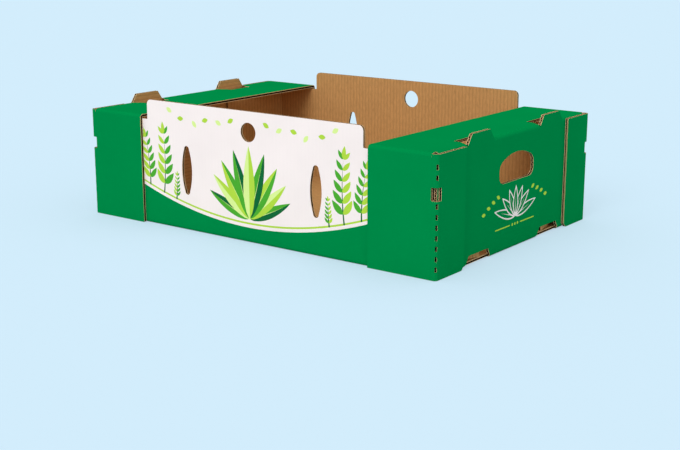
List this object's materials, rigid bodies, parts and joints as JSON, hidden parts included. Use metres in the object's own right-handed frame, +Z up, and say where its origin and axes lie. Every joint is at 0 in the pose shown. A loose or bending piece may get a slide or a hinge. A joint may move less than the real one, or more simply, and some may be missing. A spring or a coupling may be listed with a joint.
{
  "type": "cardboard tray box",
  "caption": "Open cardboard tray box folded from one printed sheet, with end shelves, stacking tabs, hand holes, vents and raised long sides.",
  "frame": {"origin": "middle of the underside, on the plane it stands on", "axes": "+X along the long sides, +Y from the front long side to the back one, +Z up"},
  "size_m": [0.6, 0.4, 0.179],
  "materials": {
    "board": "printed green outside, plain brown board inside"
  },
  "bodies": {
    "root": {"tray": "board"}
  },
  "joints": []
}
